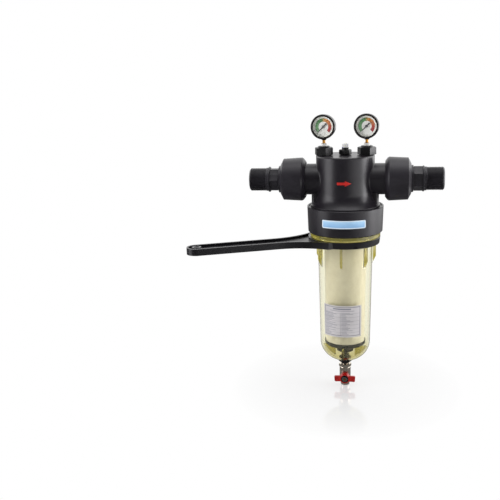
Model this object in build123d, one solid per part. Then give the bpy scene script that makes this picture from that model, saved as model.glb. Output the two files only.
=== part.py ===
from build123d import *
import os
from math import sqrt

# Clear-bowl water filter housing with union ends, two gauges, a drain valve and its bowl spanner.
# Millimetres. Origin where the pipe axis crosses the bowl axis.
# +X is the outlet side, -Y the front with the dials, +Z up.

# Clearances between pieces
turn_gap = 0.35        # curved fit of pieces that move against each other
slip_gap = 0.1         # curved fit of pieces that stay together
face_gap = 0.2         # flat faces that move against each other
skin_gap = 0.05        # label or badge over the surface that carries it

# Head
head_radius = 74.0
head_top = 62.7
head_wall = 10.0
head_edge = 4.0
flare_start = -30.0
flare_foot = -66.5
rim_radius = 99.7
rim_top = -68.75
rim_width = 4.2
moat_width = 5.0
moat_floor = -71.8
collar_bottom = -138.3
collar_taper = 2.1
collar_chamfer = 3.0
collar_wall = 9.3
collar_bore = rim_radius - collar_taper - collar_wall
collar_wall_depth = 56.0
chamber_radius = 63.0
tube_radius = 34.0
tube_bore = 27.0
tube_bottom = -80.0
duct_wall = 6.0

# Ports, union nuts and tails, sizes along the pipe axis from the middle
port_bore = 24.0
neck_radius = 40.5
neck_blend = 3.0
web_reach = 87.0
web_half_width = 22.0
web_corner = 8.0
neck_thread_radius = 43.0
neck_thread_start = 106.0
neck_end = 140.5
union_seal_thickness = 2.5
union_seal_radius = 37.5
tail_bore = 22.5
tail_flange_thickness = 12.6
tail_flange_radius = 42.9
tail_shoulder_radius = 35.0
tail_shoulder_end = 173.0
tail_hex_start = 174.7
tail_hex_length = 21.5
tail_hex_radius = 31.9
tail_hex_turns = {"outlet": 0.0, "inlet": 28.0}
tail_ridge_width = 5.5
tail_ridge_radius = 33.2
tail_land_width = 4.7
tail_land_radius = 30.6
pipe_thread_radius = 29.8
pipe_thread_length = 41.0
pipe_thread_chamfer = 3.2
nut_start = 102.5
nut_radius = 56.6
nut_radius_outer = 54.0
nut_head_slope = 10.0
nut_tail_slope = 7.5
nut_face_width = 2.4
nut_lip = 12.3

# Gauge plugs and vent on the head's top
plug_spacing = 55.0
plug_hex_radius = 24.5
plug_hex_height = 18.8
plug_boss_height = 3.5
plug_boss_radius = 15.0
plug_spigot_radius = 15.0
plug_spigot_depth = 16.0
plug_chamfer = 1.6
pad_radius = 20.5
plug_turns = (15.0, 20.0)
seal_thickness = 1.5
vent_hex_radius = 16.4
vent_hex_height = 12.6
vent_neck_radius = 8.7
vent_neck_height = 5.4
vent_spigot_radius = 10.0
vent_spigot_depth = 14.0
vent_screw_radius = 4.6
vent_cap_radius = 8.4
vent_cap_height = 10.6

# Gauges, in each gauge's own frame: local +Z to the viewer, local +Y up
gauge_turn = -9.0
case_radius = 30.4
case_wall = 2.0
bezel_wall = 1.3
gauge_radius = case_radius + slip_gap + bezel_wall
case_back = -10.5
case_front = 11.0
bezel_front = 15.0
bezel_skirt = 7.4
bezel_lip = 5.6
bezel_opening = gauge_radius - bezel_lip
window_thickness = 1.6
dial_level = 4.2
dial_thickness = 1.0
pointer_length = 20.5
pointer_tail = 9.0
pointer_tail_half = 1.6
pointer_level = 6.4
pointer_thickness = 0.9
arbor_radius = 1.1
zero_angle = 225.0
stem_radius = 3.7
stem_thread_radius = 6.2
stem_insert = 16.0
tape_height = 7.4
tape_thickness = 0.8
socket_reach = 4.1
socket_bottom = case_radius + socket_reach
stem_neck_length = 7.8
socket_radius = 5.6
socket_root_radius = 8.0
coil_setback = 10.4
tube_coil_width = 3.0

# Bowl
bowl_neck_radius = collar_bore - turn_gap
bowl_neck_wall = 7.2
bowl_neck_height = 46.0
flange_reach = 3.9
flange_radius = collar_bore + flange_reach
flange_thickness = 12.1
neck_step = 8.15
wall_top_radius = bowl_neck_radius - bowl_neck_wall - neck_step
bowl_draft = 5.4
wall_foot_radius = wall_top_radius - bowl_draft
bowl_wall = 4.3
dome_start = -446.0
dome_depth = 57.5
bowl_root_round = 2.0
rib_count = 7
rib_first = -5.5
rib_height = 9.4
rib_radius = wall_top_radius + rib_height
rib_thickness = 5.5
rib_straight_end = -208.0
rib_end = -232.0
fin_count = 4
fin_thickness = 2.6
fin_inner_radius = 27.0
fin_top = -461.0
ring_section = 2.2
ring_drop = 8.0

# Sleeve and its support
sleeve_top = -92.0
sleeve_bottom = -447.0
water_gap_top = 11.3
water_gap_foot = 9.7
sleeve_top_radius = wall_top_radius - bowl_wall - water_gap_top
sleeve_foot_radius = wall_foot_radius - bowl_wall - water_gap_foot
sleeve_wall = 2.5
support_plate = 4.0
support_collar_height = 10.0
support_wall = 4.0
bar_count = 10
bar_width = 3.0
hoop_count = 7
hoop_height = 3.0
clamp_height = 6.0
clamp_thickness = 1.2
vane_count = 10
vane_tip_gap = 1.75
vane_tip_radius = bowl_neck_radius - bowl_neck_wall - vane_tip_gap
vane_height = 24.0
vane_thickness = 1.8
vane_pitch_angle = 38.0
vane_hub_wall = 1.8
cap_floor = 8.0
cap_lip = 5.0
cap_lip_wall = 1.6
hub_radius = 23.5
hub_depth = 21.0
hub_wall = 3.0

# Drain
bush_radius = 18.4
bush_height = 12.0
bush_rim = 5.0
bush_nose_radius = 10.5
bush_spigot_radius = 10.8
bush_spigot_height = 14.0
bush_bore = 6.0
drain_seal_thickness = 1.4
valve_thread_radius = 8.0
valve_thread_length = 9.0
valve_neck_length = 2.0
valve_collar_radius = 17.2
valve_collar_height = 7.0
valve_radius = 15.2
valve_height = 43.0
valve_outlet_radius = 12.0
valve_outlet_height = 11.0
valve_outlet_thread = 5.7
valve_outlet_depth = 9.0
ball_radius = 8.0
ball_bore = 4.0
ball_drop = 38.0
seat_thickness = 2.0
valve_stem_radius = 3.0
valve_boss_radius = 7.5
valve_boss_reach = 18.6
handle_start = 19.2
handle_hub_depth = 9.0
handle_hub_radius = 15.5
handle_face_radius = 12.6
handle_span = 28.0
wing_height = 16.5
wing_thickness = 5.0
wing_dihedral = 5.0
nut_recess = 3.6
handle_nut_radius = 8.0
handle_nut_height = 6.0

# Badges
arrow_length = 36.0
arrow_shaft = 6.5
arrow_head_length = 16.0
arrow_head_height = 14.0
arrow_level = -1.5
badge_thickness = 1.2
name_plate_width = 112.0
name_plate_height = 23.0
name_plate_level = -102.0
name_plate_corner = 4.5
label_arc = 90.0
label_turn = -5.0
label_top = -327.0
label_bottom = -415.0
label_thickness = 0.4

# Bowl spanner
spanner_thickness = 17.5
spanner_ring_width = 17.4
spanner_taper = 2.6
spanner_slack = 0.6
handle_angle = 21.5
handle_end = 425.0
handle_width = 52.0
handle_root_width = 146.0
handle_root_start = 70.0
handle_root_end = 190.0
handle_rim = 5.0
handle_recess = 6.0
handle_hole = 7.0


# Places that follow from the sizes above

union_seat = neck_end + union_seal_thickness
tail_flange_end = union_seat + tail_flange_thickness
hex_end = tail_hex_start + tail_hex_length
ridge_end = hex_end + tail_ridge_width
land_end = ridge_end + tail_land_width
thread_end = land_end + pipe_thread_length
tail_end = thread_end + pipe_thread_chamfer
nut_lip_face = tail_flange_end + face_gap
nut_end = nut_lip_face + nut_lip
nut_bore = neck_thread_radius + turn_gap
flange_top = collar_bottom - face_gap
flange_bottom = flange_top - flange_thickness
bowl_top = flange_top + bowl_neck_height
spanner_top = flange_bottom - face_gap
spanner_bottom = spanner_top - spanner_thickness
spanner_bore = wall_top_radius + bowl_root_round + spanner_slack
spanner_radius = spanner_bore + spanner_ring_width
dome_bottom = dome_start - dome_depth * sqrt(1 - (bush_radius / wall_foot_radius) ** 2)
seat_bottom = dome_bottom - drain_seal_thickness
bush_bottom = seat_bottom - bush_height
collar_high = bush_bottom - valve_neck_length
collar_low = collar_high - valve_collar_height
ball_level = bush_bottom - ball_drop
cap_bottom = sleeve_bottom - cap_floor
ring_level = bowl_top - ring_drop
gauge_stem_base = head_top + seal_thickness + plug_hex_height + plug_boss_height
gauge_height = gauge_stem_base + tape_height + stem_neck_length + socket_bottom
tube_coil_radius = case_radius - coil_setback
flare_foot_radius = rim_radius - rim_width - moat_width

os.makedirs("parts", exist_ok=True)


def save(solid, name):
    """Write one named piece."""
    export_step(solid, f"parts/{name}.step")


def turned(points, axis=Axis.Z, arc=360):
    """Turn a closed outline about Z from (radius, height) points, or about X from (place, radius)."""
    plane = Plane.XZ if axis == Axis.Z else Plane.XY
    return revolve(plane * make_face(Polyline(*points, close=True)), axis, arc)


def ring(inner, outer, low, high):
    """A plain ring about Z."""
    return turned([(inner, low), (outer, low), (outer, high), (inner, high)])


def rod(radius, low, high):
    """A plain round bar about Z."""
    return turned([(0, low), (radius, low), (radius, high), (0, high)])


def cross_rod(radius, start, end):
    """A plain round bar along X."""
    return turned([(start, 0), (start, radius), (end, radius), (end, 0)], Axis.X)


def hexagon(radius, low, high, turn=0.0, chamfer=0.0):
    """A hexagon prism about Z with its upper corners turned off."""
    prism = Pos(0, 0, low) * extrude(RegularPolygon(radius, 6, rotation=turn), high - low)
    if chamfer == 0:
        return prism
    outline = [
        (0, low),
        (radius, low),
        (radius, high - chamfer),
        (radius - 2 * chamfer, high),
        (0, high),
    ]
    return prism & turned(outline)


def mirrored_pair(solid):
    """The same piece on the outlet side and, mirrored, on the inlet side."""
    return {"outlet": solid, "inlet": mirror(solid, Plane.YZ)}


def wall_radius(height):
    """Outer radius of the bowl's tapered wall at a height."""
    share = (flange_bottom - height) / (flange_bottom - dome_start)
    return wall_top_radius + (wall_foot_radius - wall_top_radius) * share


def sleeve_radius(height):
    """Outer radius of the sleeve at a height."""
    share = (sleeve_top - height) / (sleeve_top - sleeve_bottom)
    return sleeve_top_radius + (sleeve_foot_radius - sleeve_top_radius) * share


def collar_radius(height):
    """Outer radius of the head's tapered collar at a height."""
    share = (rim_top - height) / (rim_top - collar_bottom)
    return rim_radius - collar_taper * share


# Head: turned body with flare and rimmed collar, necks with blends, chamber and crossing duct
flare_middle_height = flare_start + (flare_foot - flare_start) * 0.55
flare_reach = flare_foot_radius - head_radius
flare_middle = (head_radius + flare_reach * 0.22, flare_middle_height)
rim_inner = rim_radius - rim_width
with BuildSketch(Plane.XZ) as head_section:
    with BuildLine():
        start = (0, head_top)
        Line(start, (head_radius - head_edge, head_top))
        RadiusArc((head_radius - head_edge, head_top), (head_radius, head_top - head_edge), head_edge)
        Line((head_radius, head_top - head_edge), (head_radius, flare_start))
        ThreePointArc((head_radius, flare_start), flare_middle, (flare_foot_radius, flare_foot))
        Polyline(
            (flare_foot_radius, flare_foot),
            (flare_foot_radius, moat_floor),
            (rim_inner, moat_floor),
            (rim_inner, rim_top - 1),
            (rim_inner + 1, rim_top),
            (rim_radius - 1.2, rim_top),
            (rim_radius, rim_top - 1.2),
            (rim_radius - collar_taper, collar_bottom + collar_chamfer),
            (rim_radius - collar_taper - collar_chamfer, collar_bottom),
            (0, collar_bottom),
            start,
        )
    make_face()
head = revolve(head_section.sketch, Axis.Z)
necks = cross_rod(neck_radius, -neck_end, neck_end)
head = head + necks
saddles = head.edges().filter_by(
    lambda edge: abs(edge.center().X) < head_radius + 2
    and abs(edge.center().X) > head_radius / 2
    and abs(edge.center().Z) < neck_radius + 2
    and edge.length > neck_radius
    and edge.bounding_box().size.X > 2
)
head = fillet(saddles, neck_blend)
web_high = -neck_radius * 0.6
web_size = (web_reach - chamber_radius, 2 * web_half_width, web_high - flare_foot + 2)
web = Pos(chamber_radius, 0, flare_foot - 2) * Box(*web_size, align=(Align.MIN, Align.CENTER, Align.MIN))
web = fillet(web.edges().filter_by(Axis.Z).sort_by(Axis.X)[-2:], web_corner)
head = head + web + mirror(web, Plane.YZ)
for side in (-1, 1):
    pad = Pos(side * plug_spacing, 0, 0) * rod(pad_radius, neck_radius / 2, head_top)
    thread = cross_rod(neck_thread_radius, side * neck_thread_start, side * neck_end)
    thread = chamfer(thread.edges().sort_by(Axis.X)[-1 if side > 0 else 0], 1.5)
    head = head + pad + thread
roof = head_top - head_wall
bore_shoulder = collar_bottom + collar_wall_depth
chamber = turned(
    [
        (0, roof),
        (chamber_radius, roof),
        (chamber_radius, flare_start - 10),
        (collar_bore - 8, bore_shoulder + 9),
        (collar_bore, bore_shoulder),
        (collar_bore, collar_bottom + 1.5),
        (collar_bore + 1.5, collar_bottom),
        (0, collar_bottom),
    ]
)
head = head - chamber
duct = cross_rod(port_bore + duct_wall, 0, head_radius - head_edge)
outlet_tube = rod(tube_radius, tube_bottom, port_bore + duct_wall)
plug_well = Pos(plug_spacing, 0, 0) * rod(plug_spigot_radius, 0, roof + 1)
head = head + duct + outlet_tube + plug_well
head = head - rod(tube_bore, tube_bottom, 0) - Sphere(tube_bore)
head = head - cross_rod(port_bore, 0, neck_end)
head = head - cross_rod(port_bore, -neck_end, -(chamber_radius + tube_radius) / 2)
for side in (-1, 1):
    floor = head_top - plug_spigot_depth - face_gap
    head = head - Pos(side * plug_spacing, 0, 0) * rod(plug_spigot_radius + slip_gap, floor, head_top)
    head = head - Pos(side * plug_spacing, 0, 0) * rod(stem_thread_radius, 0, head_top)
head = head - rod(vent_spigot_radius + slip_gap, roof - 1, head_top)
save(head, "head_casting")

# Flow arrow and name plate follow the surfaces that carry them
arrow_outline = make_face(
    Polyline(
        (-arrow_length / 2, -arrow_shaft / 2),
        (arrow_length / 2 - arrow_head_length, -arrow_shaft / 2),
        (arrow_length / 2 - arrow_head_length, -arrow_head_height / 2),
        (arrow_length / 2, 0),
        (arrow_length / 2 - arrow_head_length, arrow_head_height / 2),
        (arrow_length / 2 - arrow_head_length, arrow_shaft / 2),
        (-arrow_length / 2, arrow_shaft / 2),
        close=True,
    )
)
arrow = Pos(0, 0, arrow_level) * extrude(Plane.XZ * arrow_outline, head_radius + 10)
arrow_foot = head_radius + skin_gap
arrow_shell = ring(arrow_foot, arrow_foot + badge_thickness, -arrow_head_height, arrow_head_height)
save(arrow & arrow_shell, "flow_arrow")

plate_shape = RectangleRounded(name_plate_width, name_plate_height, name_plate_corner)
plate = Pos(0, 0, name_plate_level) * extrude(Plane.XZ * plate_shape, rim_radius + 10)
plate_low = name_plate_level - name_plate_height
plate_high = rim_top - 2
plate_shell = turned(
    [
        (collar_radius(plate_low) + skin_gap, plate_low),
        (collar_radius(plate_low) + skin_gap + badge_thickness, plate_low),
        (collar_radius(plate_high) + skin_gap + badge_thickness, plate_high),
        (collar_radius(plate_high) + skin_gap, plate_high),
    ]
)
save(plate & plate_shell, "name_plate")

# Union tails, seals and nuts
tail = turned(
    [
        (union_seat, tail_bore),
        (union_seat, tail_flange_radius),
        (tail_flange_end, tail_flange_radius),
        (tail_flange_end, tail_shoulder_radius),
        (tail_shoulder_end, tail_shoulder_radius),
        (tail_hex_start, tail_hex_radius - 4),
        (hex_end, tail_hex_radius - 4),
        (hex_end, tail_ridge_radius - 1.5),
        (hex_end + 1.5, tail_ridge_radius),
        (ridge_end - 1.5, tail_ridge_radius),
        (ridge_end, tail_land_radius),
        (land_end, tail_land_radius),
        (land_end, pipe_thread_radius),
        (thread_end, pipe_thread_radius),
        (tail_end, pipe_thread_radius - pipe_thread_chamfer),
        (tail_end, tail_bore + 1.5),
        (tail_end - 1.5, tail_bore),
    ],
    Axis.X,
)
hex_block = extrude(RegularPolygon(tail_hex_radius, 6, rotation=0), tail_hex_length)
hex_block = Pos(tail_hex_start, 0, 0) * Rot(0, 90, 0) * hex_block
hex_block = hex_block - cross_rod(tail_bore, tail_hex_start, hex_end)
for end, solid in mirrored_pair(hex_block).items():
    save(mirrored_pair(tail)[end] + Rot(tail_hex_turns[end], 0, 0) * solid, f"union_tail_{end}")

seal = turned(
    [
        (neck_end, port_bore),
        (neck_end, union_seal_radius),
        (union_seat, union_seal_radius),
        (union_seat, port_bore),
    ],
    Axis.X,
)
for end, solid in mirrored_pair(seal).items():
    save(solid, f"union_seal_{end}")

nut = turned(
    [
        (nut_start, nut_bore + 0.8),
        (nut_start, nut_bore + 0.8 + nut_face_width),
        (nut_start + nut_head_slope * 0.6, nut_radius - 2.2),
        (nut_start + nut_head_slope, nut_radius),
        (nut_end - nut_tail_slope, nut_radius_outer),
        (nut_end, tail_shoulder_radius + turn_gap + 4),
        (nut_end, tail_shoulder_radius + turn_gap),
        (nut_lip_face, tail_shoulder_radius + turn_gap),
        (nut_lip_face, nut_bore),
        (nut_start + 1.5, nut_bore),
    ],
    Axis.X,
)
for end, solid in mirrored_pair(nut).items():
    save(solid, f"union_nut_{end}")

# Gauges with their plugs
place = {"inlet": -plug_spacing, "outlet": plug_spacing}
hex_low = head_top + seal_thickness
hex_high = hex_low + plug_hex_height
stem_foot = gauge_stem_base - stem_insert
tape_top = gauge_stem_base + tape_height
socket_low = gauge_height - socket_bottom
plug_shaft = turned(
    [
        (stem_thread_radius + slip_gap, head_top - plug_spigot_depth),
        (plug_spigot_radius - 1, head_top - plug_spigot_depth),
        (plug_spigot_radius, head_top - plug_spigot_depth + 1),
        (plug_spigot_radius, hex_high),
        (plug_boss_radius + 1, hex_high),
        (plug_boss_radius, gauge_stem_base - 1),
        (plug_boss_radius - 1, gauge_stem_base),
        (stem_thread_radius + slip_gap, gauge_stem_base),
    ]
)
plug_seal = ring(plug_spigot_radius + slip_gap, plug_hex_radius - 5, head_top, hex_low)
stem_profile = turned(
    [
        (1.6, stem_foot),
        (stem_thread_radius, stem_foot),
        (stem_thread_radius, tape_top - 0.6),
        (stem_radius, tape_top + 0.6),
        (stem_radius, gauge_height - case_radius + 8),
        (1.6, gauge_height - case_radius + 8),
    ]
)
tape = turned(
    [
        (stem_thread_radius + skin_gap, gauge_stem_base + skin_gap),
        (stem_thread_radius + tape_thickness + 1, gauge_stem_base + skin_gap),
        (stem_thread_radius + tape_thickness, tape_top - 1.2),
        (stem_thread_radius + skin_gap, tape_top - 0.8),
    ]
)


def face_on(solid, x):
    """Stand a gauge piece upright at its place, dial to the front and turned on its stem."""
    return Pos(x, 0, gauge_height) * Rot(0, 0, gauge_turn) * Rot(90, 0, 0) * solid


case = turned(
    [
        (0, case_back),
        (case_radius - 2, case_back),
        (case_radius, case_back + 2),
        (case_radius, case_front),
        (case_radius - case_wall, case_front),
        (case_radius - case_wall, dial_level),
        (case_radius - 2 * case_wall, dial_level),
        (case_radius - 2 * case_wall, case_back + case_wall),
        (0, case_back + case_wall),
    ]
)
socket = Rot(90, 0, 0) * turned(
    [
        (0, case_radius - case_wall),
        (socket_root_radius, case_radius - case_wall),
        (socket_radius, socket_bottom),
        (0, socket_bottom),
    ]
)
socket_depth = bezel_skirt - slip_gap - case_back
socket = socket & Pos(0, 0, case_back + socket_depth / 2) * Box(gauge_radius, 3 * gauge_radius, socket_depth)
socket_hole = Rot(90, 0, 0) * rod(stem_radius + slip_gap, case_radius - 3 * case_wall, socket_bottom)
case = case + socket - socket_hole
bezel = turned(
    [
        (case_radius + slip_gap, bezel_skirt),
        (gauge_radius, bezel_skirt),
        (gauge_radius, bezel_front - 1.5),
        (gauge_radius - 1.5, bezel_front),
        (bezel_opening + 1.6, bezel_front),
        (bezel_opening, case_front + window_thickness),
        (case_radius + slip_gap, case_front + window_thickness),
    ]
)
window = rod(case_radius - slip_gap, case_front, case_front + window_thickness)
rim_in = case_radius - case_wall - slip_gap
dial_plate = turned(
    [
        (arbor_radius + turn_gap, dial_level),
        (rim_in, dial_level),
        (rim_in, case_front),
        (rim_in - 1.4, case_front),
        (rim_in - 1.4, dial_level + dial_thickness),
        (arbor_radius + turn_gap, dial_level + dial_thickness),
    ]
)
pointer_blade = make_face(
    Polyline(
        (-pointer_tail, -pointer_tail_half),
        (2.4, -pointer_tail_half),
        (pointer_length, -0.35),
        (pointer_length, 0.35),
        (2.4, pointer_tail_half),
        (-pointer_tail, pointer_tail_half),
        close=True,
    )
)
pointer_shape = pointer_blade + Circle(3.4) + Pos(-pointer_tail, 0) * Circle(2.4)
pointer_plate = Pos(0, 0, pointer_level) * extrude(pointer_shape, pointer_thickness)
arbor_back = case_back + case_wall + face_gap
pointer = pointer_plate + rod(arbor_radius, arbor_back, pointer_level)
pointer = Rot(0, 0, zero_angle) * pointer
coil_half = tube_coil_width / 2
coil_level = (dial_level + case_back + case_wall) / 2 - 0.5
coil_section = [
    (tube_coil_radius - coil_half, coil_level - 2 * coil_half),
    (tube_coil_radius + coil_half, coil_level - 2 * coil_half),
    (tube_coil_radius + coil_half, coil_level + 2 * coil_half),
    (tube_coil_radius - coil_half, coil_level + 2 * coil_half),
]
coil = Rot(0, 0, -90) * turned(coil_section, Axis.Z, 250)
coil_block_height = 10.0
coil_block = Pos(0, -tube_coil_radius, coil_level) * Box(9, coil_block_height, 8)

for end, x in place.items():
    turn = plug_turns[0] if x < 0 else plug_turns[1]
    cap_hex = hexagon(plug_hex_radius, hex_low, hex_high, 30 + turn, plug_chamfer)
    cap_hex = cap_hex - rod(stem_thread_radius + slip_gap, hex_low, hex_high)
    save(Pos(x, 0, 0) * (cap_hex + plug_shaft), f"gauge_plug_{end}")
    save(Pos(x, 0, 0) * plug_seal, f"gauge_plug_seal_{end}")
    save(Pos(x, 0, 0) * tape, f"gauge_tape_{end}")
    save(Pos(x, 0, 0) * stem_profile + face_on(coil + coil_block, x), f"gauge_stem_{end}")
    save(face_on(case, x), f"gauge_case_{end}")
    save(face_on(bezel, x), f"gauge_bezel_{end}")
    save(face_on(window, x), f"gauge_window_{end}")
    save(face_on(dial_plate, x), f"gauge_dial_{end}")
    save(face_on(pointer, x), f"gauge_pointer_{end}")

# Vent on the middle of the head
vent_low = head_top + seal_thickness
vent_high = vent_low + vent_hex_height
vent_top = vent_high + vent_neck_height
vent_bore = vent_screw_radius + turn_gap
vent_shaft = turned(
    [
        (vent_bore, head_top - vent_spigot_depth),
        (vent_spigot_radius, head_top - vent_spigot_depth),
        (vent_spigot_radius, vent_high),
        (vent_neck_radius, vent_high),
        (vent_neck_radius, vent_top),
        (vent_bore, vent_top),
    ]
)
vent_hex = hexagon(vent_hex_radius, vent_low, vent_high, 10, 1.2) - rod(vent_bore, vent_low, vent_high)
save(vent_hex + vent_shaft, "vent_plug")
save(ring(vent_spigot_radius + slip_gap, vent_hex_radius - 3.4, head_top, vent_low), "vent_seal")
cap_low = vent_top + face_gap
vent_cap = turned(
    [
        (0, cap_low - vent_neck_height - 8),
        (vent_screw_radius, cap_low - vent_neck_height - 8),
        (vent_screw_radius, cap_low),
        (vent_cap_radius, cap_low),
        (vent_cap_radius, cap_low + vent_cap_height - 3),
        (vent_cap_radius - 1.2, cap_low + vent_cap_height - 1),
        (vent_cap_radius - 3.6, cap_low + vent_cap_height),
        (0, cap_low + vent_cap_height),
    ]
)
grips = PolarLocations(vent_cap_radius + 0.6, 6)
for spot in grips:
    vent_cap = vent_cap - spot * rod(1.5, cap_low + 1.5, cap_low + vent_cap_height)
save(vent_cap, "vent_screw")

# Sleeve support: top plate on the outlet tube, tapering cage of bars and hoops
cage_gap = sleeve_wall + slip_gap
plate_top = sleeve_top + support_plate
plate_rim = sleeve_top_radius + clamp_thickness + vane_hub_wall + 2 * slip_gap
support = turned(
    [
        (tube_bore, sleeve_top),
        (plate_rim, sleeve_top),
        (plate_rim, plate_top),
        (tube_radius + slip_gap + support_wall, plate_top),
        (tube_radius + slip_gap + support_wall, plate_top + support_collar_height),
        (tube_radius + slip_gap, plate_top + support_collar_height),
        (tube_radius + slip_gap, tube_bottom - face_gap),
        (tube_bore, tube_bottom - face_gap),
    ]
)
hoop_step = (sleeve_top - sleeve_bottom - hoop_height) / (hoop_count - 1)
for index in range(hoop_count):
    high = sleeve_top - index * hoop_step
    low = high - hoop_height
    hoop = turned(
        [
            (sleeve_radius(low) - cage_gap - support_wall, low),
            (sleeve_radius(low) - cage_gap, low),
            (sleeve_radius(high) - cage_gap, high),
            (sleeve_radius(high) - cage_gap - support_wall, high),
        ]
    )
    support = support + hoop
bar = make_face(
    Polyline(
        (sleeve_top_radius - cage_gap - support_wall, sleeve_top),
        (sleeve_top_radius - cage_gap - 0.3, sleeve_top),
        (sleeve_foot_radius - cage_gap - 0.3, sleeve_bottom),
        (sleeve_foot_radius - cage_gap - support_wall, sleeve_bottom),
        close=True,
    )
)
bar = extrude(Plane.XZ * bar, bar_width / 2, both=True)
for index in range(bar_count):
    support = support + Rot(0, 0, 360 / bar_count * index) * bar
save(support, "sleeve_support")

sleeve = turned(
    [
        (sleeve_top_radius - sleeve_wall, sleeve_top),
        (sleeve_top_radius, sleeve_top),
        (sleeve_foot_radius, sleeve_bottom),
        (sleeve_foot_radius - sleeve_wall, sleeve_bottom),
    ]
)
save(sleeve, "filter_sleeve")

clamp_inner = sleeve_top_radius + slip_gap
save(ring(clamp_inner, clamp_inner + clamp_thickness, sleeve_top - clamp_height, sleeve_top), "sleeve_clamp")

# Guide vanes that set the water spinning round the sleeve
hub_inner = clamp_inner + clamp_thickness
hub_outer = hub_inner + vane_hub_wall
vane_bottom = sleeve_top - vane_height
vanes = ring(hub_inner, hub_outer, vane_bottom, sleeve_top)
vane_reach = vane_tip_radius - hub_inner
blade = Box(vane_reach + 8, vane_thickness, vane_height * 2)
blade = Pos(hub_inner + vane_reach / 2, 0, (sleeve_top + vane_bottom) / 2) * Rot(vane_pitch_angle, 0, 0) * blade
blade = blade & ring(hub_inner + 0.5, vane_tip_radius, vane_bottom, sleeve_top)
for index in range(vane_count):
    vanes = vanes + Rot(0, 0, 360 / vane_count * index) * blade
save(vanes, "vortex_vanes")

# End cap that closes the sleeve
lip_inner = sleeve_radius(sleeve_bottom + cap_lip) + slip_gap
end_cap = turned(
    [
        (0, sleeve_bottom),
        (lip_inner, sleeve_bottom),
        (lip_inner, sleeve_bottom + cap_lip),
        (lip_inner + cap_lip_wall, sleeve_bottom + cap_lip),
        (lip_inner + cap_lip_wall, cap_bottom + 5),
        (lip_inner - 4, cap_bottom),
        (hub_radius, cap_bottom),
        (hub_radius - 1, cap_bottom - hub_depth),
        (hub_radius - hub_wall - 1, cap_bottom - hub_depth),
        (hub_radius - hub_wall, cap_bottom),
        (0, cap_bottom),
    ]
)
save(end_cap, "sleeve_end_cap")

# Bowl: threaded neck, stop flange, tapered wall, dome, outer ribs and inner fins
inner_foot = wall_foot_radius - bowl_wall
inner_depth = dome_depth - bowl_wall
neck_inner = bowl_neck_radius - bowl_neck_wall
groove_half = ring_section + 0.4
groove_floor = bowl_neck_radius - 2 * ring_section - turn_gap / 2
bowl_hole = bush_spigot_radius + slip_gap
inner_floor = -sqrt(1 - (bowl_hole / inner_foot) ** 2) * inner_depth + dome_start
with BuildSketch(Plane.XZ) as bowl_section:
    with BuildLine():
        Polyline(
            (neck_inner, bowl_top),
            (bowl_neck_radius - 1.5, bowl_top),
            (bowl_neck_radius, bowl_top - 1.5),
            (bowl_neck_radius, ring_level + groove_half),
            (groove_floor, ring_level + groove_half),
            (groove_floor, ring_level - groove_half),
            (bowl_neck_radius, ring_level - groove_half),
            (bowl_neck_radius, flange_top),
            (flange_radius - 1, flange_top),
            (flange_radius, flange_top - 1),
            (flange_radius, flange_bottom + 2),
            (flange_radius - 2, flange_bottom),
            (wall_top_radius + bowl_root_round, flange_bottom),
            (wall_top_radius, flange_bottom - bowl_root_round),
            (wall_foot_radius, dome_start),
        )
        EllipticalCenterArc((0, dome_start), wall_foot_radius, dome_depth, start_angle=270, arc_size=90)
        Line((0, dome_start - dome_depth), (0, dome_start - inner_depth))
        EllipticalCenterArc((0, dome_start), inner_foot, inner_depth, start_angle=270, arc_size=90)
        Polyline(
            (inner_foot, dome_start),
            (wall_top_radius - bowl_wall, flange_bottom - 8),
            (neck_inner, flange_top - 2),
            (neck_inner, bowl_top),
        )
    make_face()
bowl = revolve(bowl_section.sketch, Axis.Z)
bowl = bowl - rod(bush_radius + 0.6, dome_start - dome_depth - 1, dome_bottom)
bowl = bowl - rod(bowl_hole, dome_start - dome_depth - 1, dome_start - inner_depth + 2)
rib = make_face(
    Polyline(
        (wall_top_radius - bowl_wall / 2, flange_bottom),
        (rib_radius, flange_bottom),
        (rib_radius - 0.6, rib_straight_end),
        (wall_radius(rib_end) - bowl_wall / 2, rib_end - 2),
        close=True,
    )
)
rib = extrude(Plane.XZ * rib, rib_thickness / 2, both=True)
for index in range(rib_count):
    bowl = bowl + Rot(0, 0, rib_first - 90 + 360 / rib_count * index) * rib
fin_outer = inner_foot + bowl_wall / 2
fin_shape = Polyline(
    (fin_inner_radius, dome_start - dome_depth),
    (fin_outer, dome_start - dome_depth),
    (fin_outer, fin_top - 6),
    (fin_outer - 8, fin_top),
    (fin_inner_radius + 8, fin_top),
    (fin_inner_radius, fin_top - 8),
    close=True,
)
fin = extrude(Plane.XZ * make_face(fin_shape), fin_thickness / 2, both=True)
dome_fill = Pos(0, 0, dome_start) * scale(Sphere(1), (inner_foot + 1, inner_foot + 1, inner_depth + 1))
fin = fin & dome_fill
for index in range(fin_count):
    bowl = bowl + Rot(0, 0, rib_first - 90 + 360 / fin_count * index) * fin
save(bowl, "bowl")

ring_centre = groove_floor + turn_gap / 2 + ring_section
o_ring = Pos(0, 0, ring_level) * Torus(ring_centre, ring_section - turn_gap / 4)
save(o_ring, "bowl_o_ring")

# Data label on the bowl's front
label_gap = skin_gap + 0.05
data_label = turned(
    [
        (wall_radius(label_bottom) + label_gap, label_bottom),
        (wall_radius(label_bottom) + label_gap + label_thickness, label_bottom),
        (wall_radius(label_top) + label_gap + label_thickness, label_top),
        (wall_radius(label_top) + label_gap, label_top),
    ],
    Axis.Z,
    label_arc,
)
save(Rot(0, 0, label_turn - 90 - label_arc / 2) * data_label, "data_label")

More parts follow.
